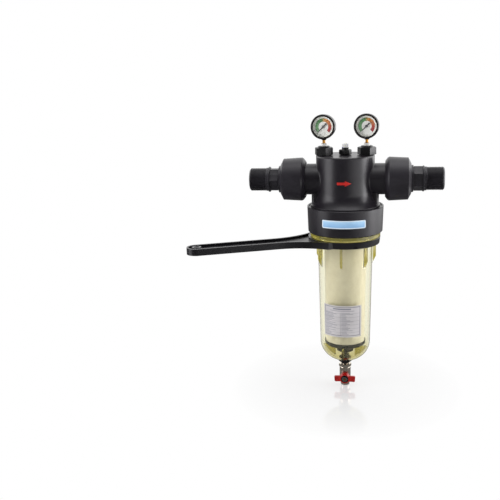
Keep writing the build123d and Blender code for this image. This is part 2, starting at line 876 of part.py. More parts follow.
# Drain: bush through the bowl's bottom, ball valve and butterfly handle
thread_socket = valve_thread_radius + slip_gap
bush = turned(
    [
        (bush_bore, bush_bottom + valve_thread_length + 1),
        (thread_socket, bush_bottom + valve_thread_length + 1),
        (thread_socket, bush_bottom),
        (bush_nose_radius, bush_bottom),
        (bush_nose_radius, bush_bottom + 1.5),
        (bush_radius - 1, seat_bottom - bush_rim),
        (bush_radius, seat_bottom - bush_rim + 1),
        (bush_radius, seat_bottom),
        (bush_spigot_radius, seat_bottom),
        (bush_spigot_radius, seat_bottom + bush_spigot_height),
        (bush_bore, seat_bottom + bush_spigot_height),
    ]
)
save(bush, "drain_bush")
save(ring(bush_spigot_radius + slip_gap, bush_radius - 1.4, seat_bottom, dome_bottom), "drain_seal")

valve_bottom = collar_low - valve_height
outlet_bottom = valve_bottom - valve_outlet_height
cavity = ball_radius + turn_gap
seat_half = ball_radius + seat_thickness - 0.6
valve = turned(
    [
        (0, bush_bottom + valve_thread_length),
        (valve_thread_radius, bush_bottom + valve_thread_length),
        (valve_thread_radius, collar_high),
        (valve_radius - 1, collar_high),
        (valve_radius - 1, collar_low),
        (valve_radius, collar_low - 2),
        (valve_radius, valve_bottom + 4),
        (valve_outlet_radius, valve_bottom),
        (valve_outlet_radius, outlet_bottom + 1),
        (valve_outlet_radius - 1, outlet_bottom),
        (0, outlet_bottom),
    ]
)
valve = valve + hexagon(valve_collar_radius, collar_low, collar_high, 12)
boss = turned([(0, 0), (valve_boss_radius, 0), (valve_boss_radius, valve_boss_reach), (0, valve_boss_reach)])
valve = valve + Pos(0, 0, ball_level) * Rot(90, 0, 0) * boss
valve = valve - rod(ball_bore, outlet_bottom, bush_bottom + valve_thread_length)
valve = valve - rod(cavity, ball_level - seat_half, ball_level + seat_half)
valve = valve - rod(valve_outlet_thread, outlet_bottom, outlet_bottom + valve_outlet_depth)
stem_hole = rod(valve_stem_radius + turn_gap, 0, valve_boss_reach)
valve = valve - Pos(0, 0, ball_level) * Rot(90, 0, 0) * stem_hole
save(valve, "valve_body")

seat_low = ball_level - seat_half
seat_high = ball_level + seat_half
seat_outer = cavity - slip_gap
lower_seat = ring(ball_bore, seat_outer, seat_low, seat_low + seat_thickness)
upper_seat = ring(ball_bore, seat_outer, seat_high - seat_thickness, seat_high)
seat_relief = Pos(0, 0, ball_level) * Sphere(ball_radius + turn_gap)
save(lower_seat - seat_relief, "valve_seat_lower")
save(upper_seat - seat_relief, "valve_seat_upper")

ball = Sphere(ball_radius) - cross_rod(ball_bore, -ball_radius, ball_radius)
slot = Pos(0, -ball_radius, 0) * Box(2 * ball_radius, 4.4, 2.6)
save(Pos(0, 0, ball_level) * (ball - slot), "valve_ball")
stem_end = handle_start + handle_hub_depth + handle_nut_height - nut_recess + 1.5
stem = Rot(90, 0, 0) * rod(valve_stem_radius, ball_radius + 0.1, stem_end)
tang = Pos(0, -ball_radius + 0.9, 0) * Box(5.0, 2.2, 2.4)
save(Pos(0, 0, ball_level) * (stem + tang), "valve_stem")

hub_front = handle_start + handle_hub_depth
hub = turned(
    [
        (valve_stem_radius + skin_gap, handle_start),
        (handle_hub_radius, handle_start),
        (handle_hub_radius, handle_start + 2),
        (handle_face_radius, hub_front),
        (handle_nut_radius + 2, hub_front),
        (handle_nut_radius + 1, hub_front - nut_recess),
        (valve_stem_radius + skin_gap, hub_front - nut_recess),
    ]
)
wing_length = handle_span - handle_face_radius + 4
wing = RectangleRounded(wing_length, wing_height, 3)
wing = extrude(wing, wing_thickness)
wing_groove = Box(1.2, wing_height - 5, 1.2)
for step in range(3):
    wing = wing - Pos(wing_length / 2 - 3 - 3 * step, 0, wing_thickness) * wing_groove
wing_middle = handle_span - wing_length / 2
wings = Pos(wing_middle, 0, handle_start + 2) * Rot(0, wing_dihedral, -wing_dihedral) * wing
wings = wings + mirror(wings, Plane.YZ)
wings = wings - rod(handle_face_radius - 1, handle_start - 4, hub_front + 4)
drain_handle = Rot(90, 0, 0) * (hub + wings)
save(Pos(0, 0, ball_level) * drain_handle, "drain_handle")
nut_low = hub_front - nut_recess
small_nut = hexagon(handle_nut_radius, nut_low, nut_low + handle_nut_height, 0, 0.8)
small_nut = small_nut - rod(valve_stem_radius + skin_gap, nut_low, nut_low + handle_nut_height)
save(Pos(0, 0, ball_level) * Rot(90, 0, 0) * small_nut, "handle_nut")

# Bowl spanner: ring with a notch for each rib, flared root and channelled handle
spanner_outline = [
    (0, spanner_bottom),
    (spanner_radius - spanner_taper, spanner_bottom),
    (spanner_radius - 0.6, spanner_top - 3),
    (spanner_radius, spanner_top - 1.4),
    (spanner_radius - 1.4, spanner_top),
    (0, spanner_top),
]
spanner = turned(spanner_outline)
root_half = handle_root_width / 2
grip_half = handle_width / 2
blend_middle = handle_root_start + (handle_root_end - handle_root_start) * 0.42
blend_half = grip_half + (root_half - grip_half) * 0.3
with BuildSketch() as grip_sketch:
    with BuildLine():
        Line((0, root_half * 0.8), (handle_root_start, root_half))
        ThreePointArc((handle_root_start, root_half), (blend_middle, blend_half), (handle_root_end, grip_half))
        Line((handle_root_end, grip_half), (handle_end - grip_half, grip_half))
        RadiusArc((handle_end - grip_half, grip_half), (handle_end - grip_half, -grip_half), grip_half)
        Line((handle_end - grip_half, -grip_half), (handle_root_end, -grip_half))
        ThreePointArc((handle_root_end, -grip_half), (blend_middle, -blend_half), (handle_root_start, -root_half))
        Line((handle_root_start, -root_half), (0, -root_half * 0.8))
        Line((0, -root_half * 0.8), (0, root_half * 0.8))
    make_face()
grip = Pos(0, 0, spanner_bottom) * extrude(grip_sketch.sketch, spanner_thickness)
recess_shape = offset(grip_sketch.sketch, -handle_rim)
recess = extrude(recess_shape, handle_recess) - rod(spanner_radius + handle_rim, 0, handle_recess)
eye_spot = handle_end - grip_half
eye_boss = Pos(eye_spot, 0, 0) * rod(handle_hole + handle_rim, -1, handle_recess + 1)
recess = recess - eye_boss
grip = grip - Pos(0, 0, spanner_top - handle_recess) * recess
grip = grip - Pos(0, 0, spanner_bottom) * recess
grip = grip - Pos(eye_spot, 0, 0) * rod(handle_hole, spanner_bottom, spanner_top)
spanner = spanner + Rot(0, 0, 180 + handle_angle) * grip
spanner = spanner - rod(spanner_bore, spanner_bottom, spanner_top)
notch_reach = rib_radius + 4 * face_gap
notch = Pos(notch_reach / 2, 0, (spanner_top + spanner_bottom) / 2)
notch = notch * Box(notch_reach, rib_thickness + 8 * face_gap, spanner_thickness)
for index in range(rib_count):
    spanner = spanner - Rot(0, 0, rib_first - 90 + 360 / rib_count * index) * notch
save(spanner, "spanner")
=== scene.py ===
from math import atan2, ceil, cos, pi, radians, sin, tau

import bmesh
import bpy
from mathutils import Matrix, Vector


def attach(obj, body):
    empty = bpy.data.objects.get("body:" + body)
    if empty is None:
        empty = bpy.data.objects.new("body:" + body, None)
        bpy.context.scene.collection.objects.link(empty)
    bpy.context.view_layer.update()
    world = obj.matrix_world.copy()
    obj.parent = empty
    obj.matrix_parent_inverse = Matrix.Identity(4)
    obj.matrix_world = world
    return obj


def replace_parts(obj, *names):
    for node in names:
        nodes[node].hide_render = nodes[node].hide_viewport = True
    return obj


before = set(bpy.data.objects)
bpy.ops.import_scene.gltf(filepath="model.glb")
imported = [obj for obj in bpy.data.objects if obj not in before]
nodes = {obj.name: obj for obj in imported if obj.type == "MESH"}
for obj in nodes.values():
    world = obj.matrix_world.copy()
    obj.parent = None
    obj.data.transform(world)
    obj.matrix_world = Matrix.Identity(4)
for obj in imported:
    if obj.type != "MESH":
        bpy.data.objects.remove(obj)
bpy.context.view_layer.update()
scene = bpy.context.scene
mm = 0.001
ends = {"inlet": -1, "outlet": 1}


# ---------------------------------------------------------------- colours and shader helpers
def srgb(red, green, blue):
    """A screen colour from 0 to 255 as the linear colour that the shaders use."""
    linear = []
    for value in (red, green, blue):
        value = value / 255
        linear.append(value / 12.92 if value <= 0.04045 else ((value + 0.055) / 1.055) ** 2.4)
    return (*linear, 1.0)


def node(tree, kind, inputs=None, **settings):
    """A new shader node with its settings and its unlinked inputs."""
    made = tree.nodes.new(kind)
    for key, value in settings.items():
        setattr(made, key, value)
    for key, value in (inputs or {}).items():
        if isinstance(value, bpy.types.NodeSocket):
            tree.links.new(value, made.inputs[key])
        else:
            made.inputs[key].default_value = value
    return made


def math(tree, operation, first, second=0.0, clamp=False):
    """The output of one Math node."""
    made = node(tree, "ShaderNodeMath", {0: first, 1: second}, operation=operation, use_clamp=clamp)
    return made.outputs[0]


def ramp(tree, factor, stops):
    """The colour output of a Color Ramp with the stops given as (place, colour)."""
    made = node(tree, "ShaderNodeValToRGB", {"Fac": factor})
    band = made.color_ramp
    while len(band.elements) < len(stops):
        band.elements.new(1.0)
    for element, (place, colour) in zip(band.elements, stops):
        element.position = place
        element.color = colour
    return made.outputs["Color"]


def mixed(tree, factor, first, second):
    """The colour output of a Mix node in colour mode."""
    made = node(tree, "ShaderNodeMix", data_type="RGBA")
    for index, value in ((0, factor), (6, first), (7, second)):
        if isinstance(value, bpy.types.NodeSocket):
            tree.links.new(value, made.inputs[index])
        else:
            made.inputs[index].default_value = value
    return made.outputs[2]


def spread(tree, value, low, high, start=0.0, stop=1.0):
    """A value between start and stop mapped to low and high, held at both ends."""
    made = node(
        tree,
        "ShaderNodeMapRange",
        {"Value": value, "From Min": start, "From Max": stop, "To Min": low, "To Max": high},
    )
    return made.outputs["Result"]


def over(tree, value, span, low=0.0, high=1.0):
    """A length in metres mapped from a span in millimetres to low and high, held at both ends."""
    return spread(tree, value, low, high, span[0] * mm, span[1] * mm)


def length_of(tree, first, second):
    """The length of a flat vector from its two parts."""
    squares = math(tree, "ADD", math(tree, "POWER", first, 2.0), math(tree, "POWER", second, 2.0))
    return math(tree, "SQRT", squares)


def new_group(name, inputs, outputs):
    """An empty shader node group with named inputs and outputs."""
    tree = bpy.data.node_groups.new(name, "ShaderNodeTree")
    for label, kind, value in inputs:
        socket = tree.interface.new_socket(label, in_out="INPUT", socket_type=kind)
        if value is not None:
            socket.default_value = value
    for label, kind in outputs:
        tree.interface.new_socket(label, in_out="OUTPUT", socket_type=kind)
    return tree, node(tree, "NodeGroupInput"), node(tree, "NodeGroupOutput")


def place_group(tree, group, **values):
    """A group placed in a material with its own values; underscores stand for blanks."""
    made = node(tree, "ShaderNodeGroup", node_tree=group)
    for key, value in values.items():
        socket = made.inputs[key.replace("_", " ")]
        if isinstance(value, bpy.types.NodeSocket):
            tree.links.new(value, socket)
        else:
            socket.default_value = value
    return made


def grain_group():
    """Fine moulded grain over slow flow marks: a height and a tone."""
    inputs = [
        ("Coordinates", "NodeSocketVector", None),
        ("Grain Size", "NodeSocketFloat", 900.0),
        ("Flow Size", "NodeSocketFloat", 22.0),
        ("Flow Share", "NodeSocketFloat", 0.25),
    ]
    outputs = [("Height", "NodeSocketFloat"), ("Tone", "NodeSocketFloat")]
    tree, given, result = new_group("Moulded grain", inputs, outputs)
    where = given.outputs["Coordinates"]
    fine = node(
        tree,
        "ShaderNodeTexNoise",
        {"Vector": where, "Scale": given.outputs["Grain Size"], "Detail": 3.0},
    )
    flow = node(
        tree,
        "ShaderNodeTexNoise",
        {"Vector": where, "Scale": given.outputs["Flow Size"], "Detail": 4.0, "Distortion": 0.6},
    )
    slow = math(tree, "MULTIPLY", flow.outputs["Fac"], given.outputs["Flow Share"])
    height = math(tree, "ADD", fine.outputs["Fac"], slow)
    tree.links.new(height, result.inputs["Height"])
    tone = spread(tree, flow.outputs["Fac"], 0.0, 1.0, 0.3, 0.7)
    tree.links.new(tone, result.inputs["Tone"])
    return tree


def handling_group():
    """Faint wipe marks and specks of dust: two masks."""
    inputs = [("Coordinates", "NodeSocketVector", None), ("Speck Size", "NodeSocketFloat", 420.0)]
    outputs = [("Wipes", "NodeSocketFloat"), ("Specks", "NodeSocketFloat")]
    tree, given, result = new_group("Handling marks", inputs, outputs)
    where = given.outputs["Coordinates"]
    stretched = node(tree, "ShaderNodeMapping", {"Vector": where, "Scale": (9.0, 9.0, 42.0)})
    long_marks = stretched.outputs["Vector"]
    wipes = node(tree, "ShaderNodeTexNoise", {"Vector": long_marks, "Scale": 1.0, "Detail": 5.0})
    tree.links.new(spread(tree, wipes.outputs["Fac"], 0.0, 1.0, 0.48, 0.72), result.inputs["Wipes"])
    dots = node(tree, "ShaderNodeTexVoronoi", {"Vector": where, "Scale": given.outputs["Speck Size"]})
    small = spread(tree, dots.outputs["Distance"], 1.0, 0.0, 0.04, 0.12)
    patches = node(tree, "ShaderNodeTexNoise", {"Vector": where, "Scale": 60.0})
    some = spread(tree, patches.outputs["Fac"], 0.0, 1.0, 0.6, 0.66)
    tree.links.new(math(tree, "MULTIPLY", small, some), result.inputs["Specks"])
    return tree


def fibre_group():
    """Pressed felt: tangled fibres, soft lumps and a tone."""
    inputs = [("Coordinates", "NodeSocketVector", None), ("Fibre Size", "NodeSocketFloat", 700.0)]
    outputs = [("Height", "NodeSocketFloat"), ("Tone", "NodeSocketFloat")]
    tree, given, result = new_group("Pressed felt", inputs, outputs)
    where = given.outputs["Coordinates"]
    size = given.outputs["Fibre Size"]
    warp = node(
        tree,
        "ShaderNodeTexNoise",
        {"Vector": where, "Scale": size, "Detail": 4.0, "Distortion": 2.5},
    )
    lumps = node(tree, "ShaderNodeTexNoise", {"Vector": where, "Scale": 60.0, "Detail": 3.0})
    both = math(tree, "ADD", warp.outputs["Fac"], math(tree, "MULTIPLY", lumps.outputs["Fac"], 0.8))
    tree.links.new(both, result.inputs["Height"])
    tree.links.new(spread(tree, both, 0.0, 1.0, 0.6, 1.2), result.inputs["Tone"])
    return tree


def turning_group():
    """Fine tool lines of a turned piece about its own axis: a height."""
    inputs = [("Along", "NodeSocketFloat", 0.0), ("Lines", "NodeSocketFloat", 2200.0)]
    tree, given, result = new_group("Turning lines", inputs, [("Height", "NodeSocketFloat")])
    combined = node(tree, "ShaderNodeCombineXYZ", {"X": given.outputs["Along"]})
    lines = node(
        tree,
        "ShaderNodeTexNoise",
        {"Vector": combined.outputs["Vector"], "Scale": given.outputs["Lines"], "Detail": 2.0},
    )
    tree.links.new(lines.outputs["Fac"], result.inputs["Height"])
    return tree


grain = grain_group()
handling = handling_group()
felt_fibres = fibre_group()
turning = turning_group()


def surface(name, roughness=0.4, metallic=0.0, **constants):
    """A new material: its tree, its Principled shader and its object coordinates."""
    made = bpy.data.materials.new(name)
    made.use_nodes = True
    tree = made.node_tree
    shader = tree.nodes["Principled BSDF"]
    shader.inputs["Roughness"].default_value = roughness
    shader.inputs["Metallic"].default_value = metallic
    for key, value in constants.items():
        shader.inputs[key.replace("_", " ")].default_value = value
    where = node(tree, "ShaderNodeTexCoord").outputs["Object"]
    return made, tree, shader, where


def bump(tree, shader, height, strength, distance):
    """Feeds a height to the shader's normal."""
    made = node(tree, "ShaderNodeBump", {"Height": height, "Strength": strength, "Distance": distance})
    tree.links.new(made.outputs["Normal"], shader.inputs["Normal"])


dust_grey = srgb(150, 148, 142)


def plastic(name, dark, light, low, high, grain_size=900.0, strength=0.12, dust=0.25):
    """Moulded plastic: grain in the surface, flow marks in tone and gloss, a little dust."""
    made, tree, shader, where = surface(name)
    skin = place_group(tree, grain, Coordinates=where, Grain_Size=grain_size, Flow_Share=0.6)
    marks = place_group(tree, handling, Coordinates=where)
    colour = mixed(tree, skin.outputs["Tone"], dark, light)
    dusty = math(tree, "MULTIPLY", marks.outputs["Specks"], dust)
    colour = mixed(tree, dusty, colour, dust_grey)
    tree.links.new(colour, shader.inputs["Base Color"])
    gloss = math(tree, "MULTIPLY", skin.outputs["Tone"], 0.6)
    gloss = math(tree, "ADD", gloss, math(tree, "MULTIPLY", marks.outputs["Wipes"], 0.4))
    tree.links.new(spread(tree, gloss, low, high), shader.inputs["Roughness"])
    bump(tree, shader, skin.outputs["Height"], strength, 0.0004)
    return made


def metal(name, dark, light, low, high):
    """Turned or plated metal with fine tool lines up its height."""
    made, tree, shader, where = surface(name, metallic=1.0)
    parts = node(tree, "ShaderNodeSeparateXYZ", {"Vector": where})
    cut = place_group(tree, turning, Along=parts.outputs["Z"])
    skin = place_group(tree, grain, Coordinates=where, Grain_Size=600.0, Flow_Size=70.0, Flow_Share=0.4)
    tree.links.new(mixed(tree, skin.outputs["Tone"], dark, light), shader.inputs["Base Color"])
    tree.links.new(spread(tree, skin.outputs["Tone"], low, high), shader.inputs["Roughness"])
    bump(tree, shader, cut.outputs["Height"], 0.15, 0.0002)
    return made


head_plastic = plastic("black moulded head", srgb(26, 23, 29), srgb(34, 31, 37), 0.3, 0.42)
nut_plastic = plastic("black moulded nuts", srgb(31, 28, 34), srgb(39, 36, 43), 0.36, 0.5, strength=0.22)
tail_plastic = plastic("black moulded tails", srgb(33, 31, 36), srgb(42, 40, 46), 0.34, 0.46, strength=0.2)
plug_plastic = plastic("black moulded plugs", srgb(13, 13, 15), srgb(20, 20, 22), 0.3, 0.42)
case_plastic = plastic("black dial case", srgb(24, 23, 23), srgb(35, 33, 32), 0.24, 0.34, strength=0.06)
spanner_plastic = plastic("black spanner", srgb(17, 16, 20), srgb(25, 24, 29), 0.26, 0.4, strength=0.1)
rubber = plastic("black rubber", srgb(22, 22, 22), srgb(34, 34, 34), 0.62, 0.78, 1400.0, 0.3)
arrow_red = plastic("red arrow", srgb(188, 28, 21), srgb(206, 38, 28), 0.3, 0.42, strength=0.1, dust=0.05)
cage_plastic = plastic("white sleeve support", srgb(205, 204, 196), srgb(220, 219, 212), 0.4, 0.5, dust=0.0)
seat_plastic = plastic("waxy valve seats", srgb(222, 221, 215), srgb(232, 231, 226), 0.35, 0.45, dust=0.0)
end_cap_plastic = plastic("dark end cap", srgb(10, 9, 4), srgb(16, 14, 8), 0.66, 0.78, dust=0.0)
nickel = metal("nickel plate", srgb(214, 202, 184), srgb(234, 224, 208), 0.18, 0.3)
steel = metal("bright steel", srgb(132, 132, 130), srgb(166, 166, 163), 0.24, 0.36)
brass = metal("turned brass", srgb(150, 104, 42), srgb(184, 138, 68), 0.22, 0.34)


# The drain handle: how far its axis lies below the pipe axis, and the edge of its black hub
handle_axis = 552.7
hub_edge = (10.0, 10.6)


def handle_material():
    """Red gloss paint, black round the nut of the handle's hub."""
    made, tree, shader, where = surface("red painted handle", 0.25, Coat_Weight=0.35, Coat_Roughness=0.08)
    skin = place_group(tree, grain, Coordinates=where, Grain_Size=500.0, Flow_Size=60.0)
    marks = place_group(tree, handling, Coordinates=where)
    red = mixed(tree, skin.outputs["Tone"], srgb(158, 16, 14), srgb(182, 26, 20))
    red = mixed(tree, math(tree, "MULTIPLY", marks.outputs["Wipes"], 0.15), red, srgb(196, 60, 48))
    parts = node(tree, "ShaderNodeSeparateXYZ", {"Vector": where})
    drop = math(tree, "ADD", parts.outputs["Z"], handle_axis * mm)
    hub = over(tree, length_of(tree, parts.outputs["X"], drop), hub_edge, 1.0, 0.0)
    tree.links.new(mixed(tree, hub, red, srgb(20, 19, 19)), shader.inputs["Base Color"])
    tree.links.new(spread(tree, marks.outputs["Wipes"], 0.2, 0.34), shader.inputs["Roughness"])
    bump(tree, shader, skin.outputs["Height"], 0.1, 0.0004)
    return made


red_paint = handle_material()


def tape_material():
    """White thread tape: thin lapped turns."""
    made, tree, shader, where = surface("white thread tape", 0.5, Subsurface_Weight=0.2)
    shader.inputs["Subsurface Radius"].default_value = (0.002, 0.002, 0.002)
    parts = node(tree, "ShaderNodeSeparateXYZ", {"Vector": where})
    laps = place_group(tree, turning, Along=parts.outputs["Z"], Lines=1300.0)
    colour = mixed(tree, laps.outputs["Height"], srgb(214, 213, 208), srgb(246, 246, 243))
    tree.links.new(colour, shader.inputs["Base Color"])
    bump(tree, shader, laps.outputs["Height"], 0.7, 0.0005)
    return made


def felt_material():
    """Cream pressed felt with a slow change of tone."""
    made, tree, shader, where = surface("cream felt", 0.92, Sheen_Weight=0.25, Sheen_Roughness=0.6)
    fibres = place_group(tree, felt_fibres, Coordinates=where)
    tree.links.new(
        mixed(tree, fibres.outputs["Tone"], srgb(220, 214, 201), srgb(238, 234, 223)),
        shader.inputs["Base Color"],
    )
    tree.links.new(spread(tree, fibres.outputs["Tone"], 0.96, 0.86), shader.inputs["Roughness"])
    bump(tree, shader, fibres.outputs["Height"], 0.5, 0.0008)
    return made


# The bowl's thick places, each with the span in millimetres over which it sets in
rib_reach = (73.0, 74.5)
rib_tips = (-205.0, -165.0)
flange_reach = (84.0, 88.0)
flange_level = (-153.0, -150.0)
dome_level = (-478.0, -440.0)
fin_level = (-456.0, -452.0)
dome_cavity_level = -446.0
dome_cavity_depth = 53.2
dome_cavity_radius = 62.9


def bowl_zones():
    """Masks of the bowl's thick places: ribs with their tips, stop flange, inner fins and dome."""
    inputs = [("Coordinates", "NodeSocketVector", None)]
    outputs = [(label, "NodeSocketFloat") for label in ("Ribs", "Flange", "Fins", "Dome")]
    tree, given, result = new_group("Bowl thick places", inputs, outputs)
    parts = node(tree, "ShaderNodeSeparateXYZ", {"Vector": given.outputs["Coordinates"]})
    height = parts.outputs["Z"]
    reach = length_of(tree, parts.outputs["X"], parts.outputs["Y"])
    below = over(tree, height, flange_level, 1.0, 0.0)
    ribs = math(tree, "MULTIPLY", over(tree, reach, rib_reach), below)
    ribs = math(tree, "MULTIPLY", ribs, over(tree, height, rib_tips, 1.0, 0.62))
    tree.links.new(ribs, result.inputs["Ribs"])
    rim = math(tree, "MULTIPLY", over(tree, reach, flange_reach), math(tree, "SUBTRACT", 1.0, below))
    tree.links.new(rim, result.inputs["Flange"])
    tree.links.new(over(tree, height, dome_level, 1.0, 0.0), result.inputs["Dome"])
    drop = math(tree, "SUBTRACT", height, dome_cavity_level * mm)
    drop = math(tree, "DIVIDE", drop, dome_cavity_depth * mm)
    inside = length_of(tree, drop, math(tree, "DIVIDE", reach, dome_cavity_radius * mm))
    inside = spread(tree, math(tree, "POWER", inside, 2.0), 1.0, 0.0, 0.93, 0.98)
    fins = math(tree, "MULTIPLY", inside, over(tree, height, fin_level, 1.0, 0.0))
    tree.links.new(fins, result.inputs["Fins"])
    return tree


def clear_material(name, tint, density, roughness, ior, zones=None):
    """Clear plastic or glass: its colour deepens with thickness, and it lets light past to what it covers;
    with zones, its thick places also glow as painted light.
    """
    made, tree, shader, where = surface(name, roughness, IOR=ior)
    shader.inputs["Transmission Weight"].default_value = 1.0
    marks = place_group(tree, handling, Coordinates=where, Speck_Size=300.0)
    clean = mixed(tree, marks.outputs["Wipes"], (1.0, 1.0, 1.0, 1.0), (0.97, 0.97, 0.965, 1.0))
    if zones:
        thick = place_group(tree, zones, Coordinates=where)
        clean = mixed(tree, 0.8, clean, srgb(253, 252, 243))
        clean = mixed(tree, thick.outputs["Dome"], clean, srgb(228, 222, 184))
        clean = mixed(tree, thick.outputs["Flange"], clean, srgb(224, 215, 148))
        clean = mixed(tree, thick.outputs["Ribs"], clean, srgb(158, 148, 68))
        clean = mixed(tree, thick.outputs["Fins"], clean, srgb(176, 168, 96))
        # Painted light: the thick flange, ribs and fins glow of their own, standing in for the light that the
        # thick plastic gathers.
        painted_glow = mixed(tree, thick.outputs["Flange"], (0.0, 0.0, 0.0, 1.0), (0.13, 0.118, 0.032, 1.0))
        painted_glow = mixed(tree, thick.outputs["Ribs"], painted_glow, (0.05, 0.045, 0.008, 1.0))
        painted_glow = mixed(tree, thick.outputs["Fins"], painted_glow, (0.02, 0.018, 0.004, 1.0))
        tree.links.new(painted_glow, shader.inputs["Emission Color"])
        shader.inputs["Emission Strength"].default_value = 1.0
    tree.links.new(clean, shader.inputs["Base Color"])
    wiped = spread(tree, marks.outputs["Wipes"], roughness, roughness + 0.03)
    tree.links.new(wiped, shader.inputs["Roughness"])
    output = tree.nodes["Material Output"]
    shade = tuple(0.8 + 0.2 * value for value in tint)
    passing = node(tree, "ShaderNodeBsdfTransparent", {"Color": shade})
    light = node(tree, "ShaderNodeLightPath")
    choice = node(tree, "ShaderNodeMixShader", {0: light.outputs["Is Shadow Ray"]})
    tree.links.new(shader.outputs[0], choice.inputs[1])
    tree.links.new(passing.outputs[0], choice.inputs[2])
    tree.links.new(choice.outputs[0], output.inputs["Surface"])
    if density:
        soak = node(tree, "ShaderNodeVolumeAbsorption", {"Color": tint, "Density": density})
        tree.links.new(soak.outputs[0], output.inputs["Volume"])
    return made


bowl_clear = clear_material("clear yellow bowl", (0.87, 0.84, 0.42, 1.0), 27.0, 0.015, 1.5, bowl_zones())
window_clear = clear_material("clear dial window", (0.95, 0.97, 0.96, 1.0), 0.0, 0.01, 1.3)


def vent_cap_material():
    """Milky white vent cap that lets a little light in."""
    softness = {"Subsurface_Weight": 0.4, "Transmission_Weight": 0.08}
    made, tree, shader, where = surface("milky vent cap", 0.3, **softness)
    shader.inputs["Subsurface Radius"].default_value = (0.004, 0.004, 0.003)
    skin = place_group(tree, grain, Coordinates=where, Grain_Size=500.0, Flow_Size=120.0)
    tree.links.new(
        mixed(tree, skin.outputs["Tone"], srgb(240, 240, 234), srgb(252, 252, 248)),
        shader.inputs["Base Color"],
    )
    bump(tree, shader, skin.outputs["Height"], 0.1, 0.0004)
    return made


tape_white = tape_material()
felt = felt_material()
vent_cap = vent_cap_material()


# The name plate on the collar, and how far inside its edge its dark line and pale border end
plate_level = -102.0
plate_width = 112.0
plate_height = 23.0
plate_corner = 4.5
plate_line = (0.9, 1.2)
plate_border = (3.3, 3.7)


def inside_plate(tree, parts):
    """How far a point lies inside the plate's rounded edge, in metres."""
    half_width = plate_width / 2 * mm
    half_height = plate_height / 2 * mm
    corner = plate_corner * mm
    across = math(tree, "ABSOLUTE", parts.outputs["X"])
    up = math(tree, "ABSOLUTE", math(tree, "SUBTRACT", parts.outputs["Z"], plate_level * mm))
    past_x = math(tree, "MAXIMUM", math(tree, "SUBTRACT", across, half_width - corner), 0.0)
    past_z = math(tree, "MAXIMUM", math(tree, "SUBTRACT", up, half_height - corner), 0.0)
    round_part = math(tree, "SUBTRACT", corner, length_of(tree, past_x, past_z))
    beside = math(tree, "SUBTRACT", half_width, across)
    beneath = math(tree, "SUBTRACT", half_height, up)
    return math(tree, "MINIMUM", round_part, math(tree, "MINIMUM", beside, beneath))


def name_plate_material():
    """Bare blue plate: dark edge, pale border and a blue middle that is lighter above."""
    made, tree, shader, where = surface("bare blue plate", 0.22, Coat_Weight=0.3)
    parts = node(tree, "ShaderNodeSeparateXYZ", {"Vector": where})
    inside = inside_plate(tree, parts)
    rise = over(tree, parts.outputs["Z"], (plate_level - plate_height / 2, plate_level + plate_height / 2))
    marks = place_group(tree, grain, Coordinates=where, Grain_Size=700.0, Flow_Size=30.0)
    soft = math(tree, "ADD", rise, math(tree, "MULTIPLY", marks.outputs["Tone"], 0.12))
    blues = [(0.0, srgb(122, 174, 220)), (0.6, srgb(160, 204, 242)), (1.0, srgb(190, 228, 255))]
    middle = ramp(tree, soft, blues)
    border = over(tree, inside, plate_border, 1.0, 0.0)
    colour = mixed(tree, border, middle, srgb(222, 235, 244))
    edge = over(tree, inside, plate_line, 1.0, 0.0)
    tree.links.new(mixed(tree, edge, colour, srgb(24, 34, 62)), shader.inputs["Base Color"])
    raised = math(tree, "MULTIPLY", border, 4.0)
    bump(tree, shader, math(tree, "ADD", marks.outputs["Height"], raised), 0.15, 0.0003)
    return made


def stripe(tree, value, middle, half):
    """One inside a stripe round a middle value, falling to nothing over a short edge."""
    away = math(tree, "ABSOLUTE", math(tree, "SUBTRACT", value, middle))
    return spread(tree, away, 1.0, 0.0, half * 0.7, half * 1.3)


# The data label on the bowl, in millimetres across and down from the top of its middle line
label_turn = radians(5.0)
label_radius = 69.0
label_top = -327.0
label_middle = 43.6
frame_across = 49.4
frame_down = 39.6
frame_line = 0.6
table_top = 19.0
table_bottom = 80.0
column_place = -4.0
rule_spacing = 10.6
row_spacing = 3.53
left_margin = -47.0
right_margin = -1.5
shortest_bar = 9.0
bar_spread = 26.0


def label_grid(tree, across, down):
    """The label's printed lines: its frame, one column line and the rules between its rows."""
    off = math(tree, "ABSOLUTE", across)
    level = math(tree, "ABSOLUTE", math(tree, "SUBTRACT", down, label_middle))
    in_width = math(tree, "LESS_THAN", off, frame_across + frame_line)
    in_height = math(tree, "LESS_THAN", level, frame_down + 0.4)
    upright = math(tree, "MULTIPLY", stripe(tree, off, frame_across, frame_line), in_height)
    level_lines = math(tree, "MULTIPLY", stripe(tree, level, frame_down, frame_line), in_width)
    table = math(tree, "MULTIPLY", math(tree, "GREATER_THAN", down, table_top), in_height)
    column = math(tree, "MULTIPLY", stripe(tree, across, column_place, 0.4), table)
    rule = math(tree, "FRACT", math(tree, "DIVIDE", down, rule_spacing))
    rule = math(tree, "ABSOLUTE", math(tree, "SUBTRACT", rule, 0.5))
    rule = math(tree, "MULTIPLY", spread(tree, rule, 0.0, 0.6, 0.46, 0.49), table)
    rule = math(tree, "MULTIPLY", rule, in_width)
    lines = math(tree, "MAXIMUM", upright, level_lines)
    lines = math(tree, "MAXIMUM", lines, math(tree, "MULTIPLY", column, 0.7))
    return math(tree, "MAXIMUM", lines, rule), table


